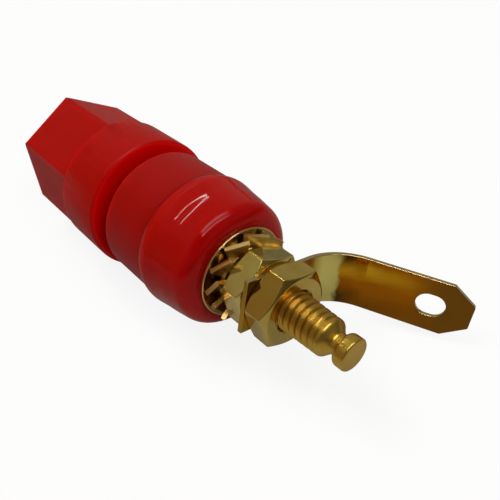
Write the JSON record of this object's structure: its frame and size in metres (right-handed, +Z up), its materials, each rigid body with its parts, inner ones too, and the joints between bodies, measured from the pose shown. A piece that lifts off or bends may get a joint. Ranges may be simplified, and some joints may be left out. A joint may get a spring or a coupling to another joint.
{
  "type": "banana jack",
  "caption": "Red panel binding post with a hexagonal screw cap, plug socket, wire hole, gold-plated stud, nuts, lock washer and bent solder tag.",
  "frame": {"origin": "on the jack's axis at the panel plane, where the front and rear insulators meet", "axes": "+Y along the axis towards the stud, -Y towards the screw cap, +Z up with the jack lying on its cap"},
  "size_m": [0.021, 0.0499, 0.015],
  "materials": {
    "red_plastic": "gloss",
    "insulator_plastic": "gloss",
    "gold_plate": "polished",
    "bush_brass": "satin"
  },
  "bodies": {
    "base": {"post": "gold_plate", "front_insulator": "insulator_plastic", "rear_insulator": "insulator_plastic", "flat_washer": "gold_plate", "star_washer": "gold_plate", "inner_nut": "gold_plate", "solder_tag": "gold_plate", "outer_nut": "gold_plate"},
    "cap_carrier": {"cap_insert": "bush_brass"},
    "screw_cap": {"cap": "red_plastic"}
  },
  "joints": [
    {"name": "cap_travel", "type": "slide", "parent": "base", "child": "cap_carrier", "axis": [0, -1, 0], "range_m": [-0.0012, 0.005]},
    {"name": "cap_turn", "type": "hinge", "parent": "cap_carrier", "child": "screw_cap", "pos_m": [0, -0.017, 0], "axis": [0, -1, 0], "range_deg": [-576, 2400]}
  ],
  "couplings": [
    {"joint": "cap_travel", "follows": "cap_turn", "m_per_rad": 0.00011937}
  ]
}
